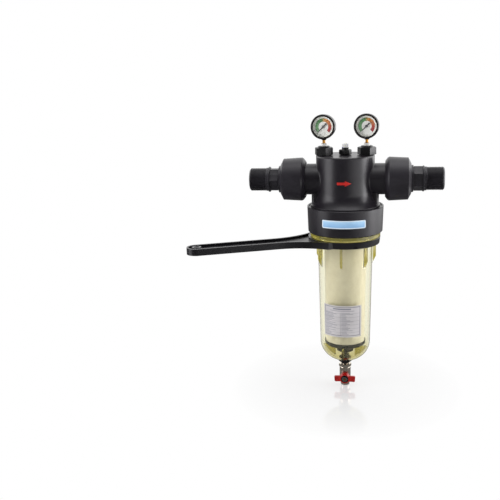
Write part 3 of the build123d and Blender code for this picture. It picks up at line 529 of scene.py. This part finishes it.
def label_bars(tree, across, down, table):
    """Grey bars of uneven length in two columns, with a heading, where the real sheet has words."""
    place = math(tree, "DIVIDE", down, row_spacing)
    row = math(tree, "FLOOR", place)
    middle = math(tree, "ABSOLUTE", math(tree, "SUBTRACT", math(tree, "FRACT", place), 0.5))
    tall = spread(tree, middle, 1.0, 0.0, 0.16, 0.26)
    right_half = math(tree, "GREATER_THAN", across, column_place)
    seed = math(tree, "ADD", row, math(tree, "MULTIPLY", right_half, 31.0))
    chance = node(tree, "ShaderNodeTexWhiteNoise", {"W": seed}, noise_dimensions="1D").outputs["Value"]
    start = math(tree, "MULTIPLY", right_half, right_margin - left_margin)
    along = math(tree, "SUBTRACT", across, math(tree, "ADD", start, left_margin))
    length = math(tree, "ADD", math(tree, "MULTIPLY", chance, bar_spread), shortest_bar)
    begun = math(tree, "GREATER_THAN", along, 0.0)
    bar = math(tree, "MULTIPLY", begun, math(tree, "LESS_THAN", along, length))
    bar = math(tree, "MULTIPLY", math(tree, "MULTIPLY", bar, tall), table)
    bar = math(tree, "MULTIPLY", bar, math(tree, "LESS_THAN", down, table_bottom))
    off = math(tree, "ABSOLUTE", across)
    heading = math(tree, "MULTIPLY", stripe(tree, down, 9.0, 1.7), math(tree, "LESS_THAN", off, 24.0))
    second = math(tree, "MULTIPLY", stripe(tree, down, 14.2, 0.9), math(tree, "LESS_THAN", off, 33.0))
    top = math(tree, "MAXIMUM", heading, math(tree, "MULTIPLY", second, 0.7))
    return math(tree, "MAXIMUM", math(tree, "MULTIPLY", bar, 0.75), top)


def label_material():
    """White data sheet with a ruled frame and plain grey bars in place of its words."""
    made, tree, shader, where = surface("plain data label", 0.35, Coat_Weight=0.2)
    skin = place_group(tree, grain, Coordinates=where, Grain_Size=1200.0, Flow_Size=26.0)
    sheet = mixed(tree, skin.outputs["Tone"], srgb(192, 189, 190), srgb(204, 201, 202))
    parts = node(tree, "ShaderNodeSeparateXYZ", {"Vector": where})
    forward = math(tree, "MULTIPLY", parts.outputs["Y"], -1.0)
    angle = math(tree, "ARCTAN2", parts.outputs["X"], forward)
    across = math(tree, "MULTIPLY", math(tree, "ADD", angle, label_turn), label_radius)
    down = math(tree, "MULTIPLY", math(tree, "SUBTRACT", parts.outputs["Z"], label_top * mm), -1 / mm)
    lines, table = label_grid(tree, across, down)
    colour = mixed(tree, label_bars(tree, across, down, table), sheet, srgb(128, 128, 138))
    colour = mixed(tree, lines, colour, srgb(66, 66, 84))
    tree.links.new(colour, shader.inputs["Base Color"])
    bump(tree, shader, skin.outputs["Height"], 0.06, 0.0003)
    return made


def print_material(name, colour, roughness=0.45):
    """Thin screen print with slightly uneven ink."""
    made, tree, shader, where = surface(name, roughness)
    skin = place_group(tree, grain, Coordinates=where, Grain_Size=1500.0, Flow_Size=300.0)
    thin = mixed(tree, 0.12, colour, (1.0, 1.0, 1.0, 1.0))
    tree.links.new(mixed(tree, skin.outputs["Tone"], colour, thin), shader.inputs["Base Color"])
    bump(tree, shader, skin.outputs["Height"], 0.05, 0.0002)
    return made


def band_material():
    """The dial's coloured band: green, then orange, then red along its sweep."""
    made, tree, shader, where = surface("dial colour band", 0.42)
    spot = node(tree, "ShaderNodeUVMap", uv_map="sweep").outputs["UV"]
    sweep = node(tree, "ShaderNodeSeparateXYZ", {"Vector": spot})
    stops = [
        (0.0, srgb(150, 196, 146)),
        (0.14, srgb(122, 182, 122)),
        (0.44, srgb(88, 146, 92)),
        (0.5, srgb(176, 158, 92)),
        (0.55, srgb(208, 142, 74)),
        (0.76, srgb(196, 108, 62)),
        (0.86, srgb(182, 60, 50)),
        (1.0, srgb(150, 26, 36)),
    ]
    skin = place_group(tree, grain, Coordinates=where, Grain_Size=1500.0, Flow_Size=300.0)
    colour = ramp(tree, sweep.outputs["X"], stops)
    tree.links.new(colour, shader.inputs["Base Color"])
    bump(tree, shader, skin.outputs["Height"], 0.05, 0.0002)
    return made


name_plate_blue = name_plate_material()
label_white = label_material()
dial_white = print_material("white dial face", srgb(249, 250, 243), 0.4)
ink_black = print_material("black print", srgb(26, 26, 28))
pointer_black = print_material("black pointer", srgb(16, 16, 18), 0.35)
dial_band = band_material()


def paint(name, material):
    """Gives a CAD node one material in all its slots."""
    slots = nodes[name].material_slots
    if not slots:
        nodes[name].data.materials.append(material)
    for place in slots:
        place.link = "OBJECT"
        place.material = material


finish = {
    "head_casting": head_plastic,
    "flow_arrow": arrow_red,
    "name_plate": name_plate_blue,
    "vent_plug": plug_plastic,
    "vent_seal": rubber,
    "vent_screw": vent_cap,
    "sleeve_support": cage_plastic,
    "sleeve_clamp": steel,
    "vortex_vanes": plug_plastic,
    "sleeve_end_cap": end_cap_plastic,
    "bowl": bowl_clear,
    "bowl_o_ring": rubber,
    "data_label": label_white,
    "drain_bush": plug_plastic,
    "drain_seal": rubber,
    "valve_body": nickel,
    "valve_seat_lower": seat_plastic,
    "valve_seat_upper": seat_plastic,
    "valve_ball": nickel,
    "valve_stem": brass,
    "drain_handle": red_paint,
    "handle_nut": steel,
    "spanner": spanner_plastic,
    "filter_sleeve": felt,
}
for end in ends:
    finish[f"union_tail_{end}"] = tail_plastic
    finish[f"union_nut_{end}"] = nut_plastic
    finish[f"union_seal_{end}"] = rubber
    finish[f"gauge_plug_{end}"] = plug_plastic
    finish[f"gauge_plug_seal_{end}"] = rubber
    finish[f"gauge_tape_{end}"] = tape_white
    finish[f"gauge_stem_{end}"] = brass
    finish[f"gauge_case_{end}"] = case_plastic
    finish[f"gauge_bezel_{end}"] = case_plastic
    finish[f"gauge_window_{end}"] = window_clear
    finish[f"gauge_dial_{end}"] = dial_white
    finish[f"gauge_pointer_{end}"] = pointer_black
for name, material in finish.items():
    paint(name, material)


# ---------------------------------------------------------------- new pieces
def piece(name, mesh, material, body, smooth=True):
    """Puts a mesh in the scene as a named piece of one body and one material slot."""
    made = bpy.data.objects.new(name, mesh)
    scene.collection.objects.link(made)
    mesh.materials.clear()
    mesh.materials.append(material)
    if smooth:
        mesh.polygons.foreach_set("use_smooth", [True] * len(mesh.polygons))
        made.modifiers.new("edges", "EDGE_SPLIT").split_angle = radians(38)
    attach(made, body)
    return made


def mesh_from(work, name):
    """Turns a finished bmesh into a mesh."""
    mesh = bpy.data.meshes.new(name)
    work.to_mesh(mesh)
    work.free()
    return mesh


def line_of(work, points):
    """Vertices at points given in millimetres, with an edge from each to the next."""
    verts = [work.verts.new(Vector(point) * mm) for point in points]
    return verts, [work.edges.new(pair) for pair in zip(verts, verts[1:])]


# Pipe threads: the plain thread length of each tail is swapped for a real helix
thread_start = 206.4
thread_stop = 247.4
thread_radius = 29.8
thread_pitch = 2.309
thread_depth = 1.3
thread_fade = 1.6
thread_facets = 120
tail_bore_side = 27.0
# One pitch of the thread: how far along it each corner lies, and how much of the depth is cut there
thread_profile = [(0.0, 1.0), (0.08, 1.0), (0.42, 0.0), (0.58, 0.0), (0.92, 1.0), (1.0, 1.0)]


def thread_mesh(name, side):
    """Right-hand thread: one pitch swept as a helix, trimmed square and faded out at both ends."""
    work = bmesh.new()
    corners = [
        (thread_start + (share - 1.0) * thread_pitch, thread_radius - thread_depth * cut, 0.0)
        for share, cut in thread_profile
    ]
    verts, edges = line_of(work, corners)
    turns = ceil((thread_stop - thread_start) / thread_pitch) + 2
    forward = Vector((thread_pitch * mm, 0, 0))
    bmesh.ops.spin(
        work,
        geom=verts + edges,
        axis=(1, 0, 0),
        dvec=forward / thread_facets,
        angle=tau,
        steps=thread_facets,
    )
    bmesh.ops.spin(
        work,
        geom=work.verts[:] + work.edges[:] + work.faces[:],
        axis=(1, 0, 0),
        dvec=forward,
        angle=tau * (turns - 1),
        steps=turns - 1,
        use_duplicate=True,
    )
    bmesh.ops.remove_doubles(work, verts=work.verts, dist=1e-6)
    for place, outward in ((thread_start, -1), (thread_stop, 1)):
        for inset, clear in ((0.0, True), (thread_fade / 2, False), (thread_fade, False)):
            bmesh.ops.bisect_plane(
                work,
                geom=work.verts[:] + work.edges[:] + work.faces[:],
                plane_co=((place - outward * inset) * mm, 0, 0),
                plane_no=(outward, 0, 0),
                clear_outer=clear,
            )
    for vert in work.verts:
        along = vert.co.x / mm
        fade = min(1.0, max(0.0, min(along - thread_start, thread_stop - along) / thread_fade))
        radius = vert.co.yz.length / mm
        wanted = thread_radius - (thread_radius - radius) * fade
        vert.co.yz *= wanted / radius
    if side < 0:
        bmesh.ops.rotate(work, verts=work.verts, matrix=Matrix.Rotation(pi, 3, "Z"))
    bmesh.ops.recalc_face_normals(work, faces=work.faces)
    if work.calc_volume(signed=True) < 0:
        bmesh.ops.reverse_faces(work, faces=work.faces)
    return mesh_from(work, name)


def tail_mesh(name, source):
    """A union tail without the plain outer faces that its thread takes the place of."""
    work = bmesh.new()
    work.from_mesh(source)
    bmesh.ops.remove_doubles(work, verts=work.verts, dist=1e-6)
    plain = []
    for face in work.faces:
        middle = face.calc_center_median() / mm
        on_thread = thread_start < abs(middle.x) < thread_stop
        if on_thread and middle.yz.length > tail_bore_side and abs(face.normal.x) < 0.2:
            plain.append(face)
    bmesh.ops.delete(work, geom=plain, context="FACES")
    return mesh_from(work, name)


for end, side in ends.items():
    bare = tail_mesh(f"tail_{end}", nodes[f"union_tail_{end}"].data)
    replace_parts(piece(f"tail_{end}", bare, tail_plastic, "head"), f"union_tail_{end}")
    thread = thread_mesh(f"pipe_thread_{end}", side)
    piece(f"pipe_thread_{end}", thread, tail_plastic, "head")


# Felt sleeve: a soft tapered sock with shallow folds, drawn in under its clamp
sleeve_top = -92.0
sleeve_bottom = -447.0
sleeve_top_radius = 56.45
sleeve_bottom_radius = 52.65
sleeve_wall = 1.9
sleeve_levels = 90
sleeve_facets = 144
seam_angle = 1.7


def sleeve_mesh(name):
    """The sleeve's wall spun from its four corners, then pushed in and out into folds and one seam."""
    work = bmesh.new()
    corners = [
        (sleeve_bottom_radius, 0.0, sleeve_bottom),
        (sleeve_top_radius, 0.0, sleeve_top),
        (sleeve_top_radius - sleeve_wall, 0.0, sleeve_top),
        (sleeve_bottom_radius - sleeve_wall, 0.0, sleeve_bottom),
    ]
    verts, edges = line_of(work, corners)
    edges.append(work.edges.new((verts[-1], verts[0])))
    bmesh.ops.subdivide_edges(work, edges=[edges[0], edges[2]], cuts=sleeve_levels - 1)
    bmesh.ops.spin(
        work,
        geom=work.verts[:] + work.edges[:],
        axis=(0, 0, 1),
        angle=tau,
        steps=sleeve_facets,
        use_merge=True,
    )
    for vert in work.verts:
        height = vert.co.z / mm
        angle = atan2(vert.co.y, vert.co.x) % tau
        calm = max(0.0, min(1.0, (height - sleeve_bottom) / 30, (sleeve_top - height) / 30))
        pull = 0.5 * max(0.0, 1 - (sleeve_top - height) / 9)
        fold = 0.34 * sin(5 * angle + height / 55) + 0.22 * sin(11 * angle - height / 34 + 1.3)
        fold += 0.12 * sin(23 * angle + height / 12)
        seam = 0.5 * max(0.0, 1 - abs((angle - seam_angle + pi) % tau - pi) / 0.05)
        radius = vert.co.xy.length / mm
        vert.co.xy *= 1 + (calm * fold * 0.8 + seam - pull) / radius
    bmesh.ops.recalc_face_normals(work, faces=work.faces)
    return mesh_from(work, name)


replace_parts(piece("felt_sleeve", sleeve_mesh("felt_sleeve"), felt, "head"), "filter_sleeve")


# Dials: printed band, ticks and figures, laid a hair above the white face
gauge_height = 136.2
gauge_turn = radians(-9)
dial_face = 5.2
ink = 0.035
gauge_spacing = 55.0
dial_first = radians(225)
dial_sweep = radians(-270)
dial_steps = 10
dial_step = dial_sweep / dial_steps
band_inner = 12.8
band_outer = 21.4
major_outer = 23.0
minor_outer = 22.4
figure_radius = 24.6
figure_size = 2.4


def gauge_place(side):
    """The frame of one gauge: x to the right and y up on its dial, z out of it."""
    spot = Matrix.Translation((side * gauge_spacing * mm, 0, gauge_height * mm))
    return spot @ Matrix.Rotation(gauge_turn, 4, "Z") @ Matrix.Rotation(radians(90), 4, "X")


def band_mesh(name, place):
    """The coloured band: one edge spun through the dial's sweep, with its sweep kept as a UV map."""
    work = bmesh.new()
    level = dial_face + ink
    verts, edges = line_of(work, [(band_inner, 0.0, level), (band_outer, 0.0, level)])
    bmesh.ops.rotate(work, verts=verts, matrix=Matrix.Rotation(dial_first, 3, "Z"))
    bmesh.ops.spin(work, geom=verts + edges, axis=(0, 0, 1), angle=dial_sweep, steps=60)
    layer = work.loops.layers.uv.new("sweep")
    for face in work.faces:
        if face.normal.z < 0:
            face.normal_flip()
        for loop in face.loops:
            spot = loop.vert.co / mm
            share = 0.5 - atan2(spot.x, spot.y) / dial_sweep
            loop[layer].uv = (share, (band_outer - spot.xy.length) / (band_outer - band_inner))
    work.transform(place)
    return mesh_from(work, name)


def copied_round(work, angle, copies):
    """Copies all that is drawn so far round the dial, each copy turned by the angle from the last."""
    bmesh.ops.spin(
        work,
        geom=work.verts[:] + work.edges[:] + work.faces[:],
        axis=(0, 0, 1),
        angle=angle * copies,
        steps=copies,
        use_duplicate=True,
    )


def tick(outer, width, angle):
    """One radial stroke from the band's edge outwards."""
    work = bmesh.new()
    spot = Vector(((band_outer + outer) / 2, 0.0, dial_face + 2 * ink)) * mm
    bmesh.ops.create_grid(work, x_segments=1, y_segments=1, size=0.5 * mm)
    bmesh.ops.scale(work, vec=(outer - band_outer, width, 1.0), verts=work.verts)
    bmesh.ops.translate(work, vec=spot, verts=work.verts)
    bmesh.ops.rotate(work, verts=work.verts, matrix=Matrix.Rotation(angle, 3, "Z"))
    return work


def major_ticks(name, place):
    work = tick(major_outer, 0.42, dial_first)
    copied_round(work, dial_step, dial_steps)
    work.transform(place)
    return mesh_from(work, name)


def minor_ticks(name, place):
    """Four strokes between each two major ones."""
    work = tick(minor_outer, 0.2, dial_first + dial_step / 5)
    copied_round(work, dial_step / 5, 3)
    copied_round(work, dial_step, dial_steps - 1)
    work.transform(place)
    return mesh_from(work, name)


def figure_mesh(name, place, index):
    """One printed figure, upright and centred beyond its tick."""
    curve = bpy.data.curves.new(name, "FONT")
    curve.body = str(index)
    curve.size = figure_size * mm
    curve.align_x = "CENTER"
    curve.align_y = "CENTER"
    holder = bpy.data.objects.new(name, curve)
    mesh = bpy.data.meshes.new_from_object(holder)
    bpy.data.objects.remove(holder)
    angle = dial_first + dial_step * index
    spot = Vector((figure_radius * cos(angle), figure_radius * sin(angle), dial_face + 2 * ink))
    mesh.transform(place @ Matrix.Translation(spot * mm))
    return mesh


for end, side in ends.items():
    place = gauge_place(side)
    band = band_mesh(f"dial_band_{end}", place)
    piece(f"dial_band_{end}", band, dial_band, "head", smooth=False)
    major = major_ticks(f"dial_major_{end}", place)
    piece(f"dial_major_{end}", major, ink_black, "head", smooth=False)
    minor = minor_ticks(f"dial_minor_{end}", place)
    piece(f"dial_minor_{end}", minor, ink_black, "head", smooth=False)
    for index in range(0, dial_steps + 1, 2):
        figure = figure_mesh(f"dial_figure_{index}_{end}", place, index)
        piece(f"dial_figure_{index}_{end}", figure, ink_black, "head", smooth=False)


# ---------------------------------------------------------------- floor, light and camera
floor_level = -578.6 * mm
floor_half = 9.0
white = (1.0, 1.0, 1.0, 1.0)


def emission(tree, strength):
    """The shader output of white light of its own."""
    return node(tree, "ShaderNodeEmission", {"Color": white, "Strength": strength}).outputs[0]


def blended(tree, share, first, second):
    """The output of a Mix Shader."""
    made = node(tree, "ShaderNodeMixShader", {0: share})
    tree.links.new(first, made.inputs[1])
    tree.links.new(second, made.inputs[2])
    return made.outputs[0]


def mirror_rays(tree, path):
    """One for a ray that comes from a mirror-like surface, and none for one that comes through glass."""
    mirrored = path.outputs["Is Glossy Ray"]
    return math(tree, "SUBTRACT", mirrored, path.outputs["Is Transmission Ray"], clamp=True)


def floor_material():
    """Pale studio floor: white to the eye away from the object, with a soft shadow, partly real and partly a
    painted shadow in its own glow, and a mirror image.
    """
    made, tree, shader, where = surface("pale floor", 0.5)
    parts = node(tree, "ShaderNodeSeparateXYZ", {"Vector": where})
    reach = length_of(tree, parts.outputs["X"], parts.outputs["Y"])
    shader.inputs["Base Color"].default_value = (0.88, 0.88, 0.885, 1.0)
    glossy = node(tree, "ShaderNodeBsdfGlossy", {"Roughness": 0.08, "Color": (0.97, 0.97, 0.97, 1.0)})
    lit = blended(tree, 0.34, shader.outputs[0], glossy.outputs[0])
    # To the eye, and through glass, the floor turns plain white away from the object; near the object its own
    # glow dims into a painted shadow
    path = node(tree, "ShaderNodeLightPath")
    seen = math(tree, "MAXIMUM", path.outputs["Is Camera Ray"], path.outputs["Is Transmission Ray"])
    share = math(tree, "MULTIPLY", seen, spread(tree, reach, 0.55, 1.0, 0.05, 0.3))
    # Painted shadow: the floor's own glow is dimmer near the object's foot.
    floor_with_painted_shadow = blended(tree, share, lit, emission(tree, spread(tree, reach, 0.82, 1.0, 0.06, 0.32)))
    # In the black plastic it mirrors as a dark room with a bright right-hand side
    aside = spread(tree, parts.outputs["X"], 0.16, 2.4, 1.1, 2.0)
    shown = blended(tree, mirror_rays(tree, path), floor_with_painted_shadow, emission(tree, aside))
    tree.links.new(shown, tree.nodes["Material Output"].inputs["Surface"])
    return made


work = bmesh.new()
floor_place = Matrix.Translation((0, 0, floor_level))
bmesh.ops.create_grid(work, x_segments=1, y_segments=1, size=floor_half, matrix=floor_place)
floor_mesh = mesh_from(work, "floor")
floor_mesh.materials.append(floor_material())
floor = bpy.data.objects.new("floor", floor_mesh)
scene.collection.objects.link(floor)


def room_light(sky):
    """The world's strength: white to the eye, soft from behind, above and the sides to the object."""
    path = node(sky, "ShaderNodeLightPath")
    direction = node(sky, "ShaderNodeTexCoord").outputs["Generated"]
    toward = node(sky, "ShaderNodeSeparateXYZ", {"Vector": direction})
    rightward, backward, upward = (toward.outputs[axis] for axis in "XYZ")
    through = math(
        sky, "MULTIPLY", path.outputs["Is Transmission Ray"], spread(sky, backward, 0.12, 1.0, -0.2, 0.25)
    )
    seen = math(sky, "MAXIMUM", path.outputs["Is Camera Ray"], through)
    behind = math(
        sky,
        "MULTIPLY",
        spread(sky, backward, 0.0, 1.3, -0.05, 0.4),
        spread(sky, rightward, 1.0, 1.9, 0.2, 0.8),
    )
    above = spread(sky, upward, 0.0, 0.62, 0.5, 0.85)
    room = math(sky, "MAXIMUM", behind, above)
    aside = spread(sky, math(sky, "ABSOLUTE", rightward), 0.32, 0.95, 0.3, 0.95)
    mirrored = mirror_rays(sky, path)
    clear_path = math(sky, "MAXIMUM", path.outputs["Is Camera Ray"], path.outputs["Is Transmission Ray"])
    other = math(sky, "SUBTRACT", 1.0, math(sky, "MAXIMUM", mirrored, clear_path))
    in_mirror = math(sky, "MULTIPLY", math(sky, "MAXIMUM", room, 0.06), mirrored)
    on_object = math(sky, "MULTIPLY", math(sky, "MAXIMUM", room, aside), other)
    return math(sky, "MAXIMUM", math(sky, "ADD", in_mirror, on_object), seen)


world = bpy.data.worlds.new("studio")
scene.world = world
world.use_nodes = True
sky = world.node_tree
sky.nodes.clear()
backdrop = node(sky, "ShaderNodeBackground", {"Color": white, "Strength": room_light(sky)})
sky.links.new(backdrop.outputs[0], node(sky, "ShaderNodeOutputWorld").inputs["Surface"])

lamp_target = Vector((0.0, 0.0, -0.15))
lamp_tint = (0.985, 0.97, 1.0)


def lamp(name, spot, size, power):
    """A soft rectangular lamp turned to the middle of the bowl's upper half."""
    data = bpy.data.lights.new(name, "AREA")
    data.shape = "RECTANGLE"
    data.size, data.size_y = size
    data.energy = power
    data.color = lamp_tint
    made = bpy.data.objects.new(name, data)
    made.location = spot
    made.visible_camera = False
    made.rotation_euler = (lamp_target - Vector(spot)).to_track_quat("-Z", "Y").to_euler()
    scene.collection.objects.link(made)


lamp("overhead", (0.1, -0.2, 1.9), (1.6, 1.2), 10.0)
lamp("left front", (-1.66, -0.7, 0.15), (1.1, 1.35), 15.5)
lamp("right side", (1.8, -0.05, 0.15), (0.85, 1.35), 18.5)

# The camera, fitted to points measured in the photograph
camera_data = bpy.data.cameras.new("camera")
camera_data.sensor_width = 36.0
camera_data.lens = 52.27
camera_data.clip_end = 40.0
camera = bpy.data.objects.new("camera", camera_data)
scene.collection.objects.link(camera)
right = Vector((0.985485, 0.166824, -0.031305))
up = Vector((-0.010865, 0.246047, 0.969195))
ahead = Vector((-0.169387, 0.954786, -0.244290))
turn = Matrix((right, up, -ahead)).transposed().to_4x4()
camera.matrix_world = Matrix.Translation((0.07803, -1.89843, 0.29101)) @ turn
scene.camera = camera
scene.view_settings.view_transform = "Standard"
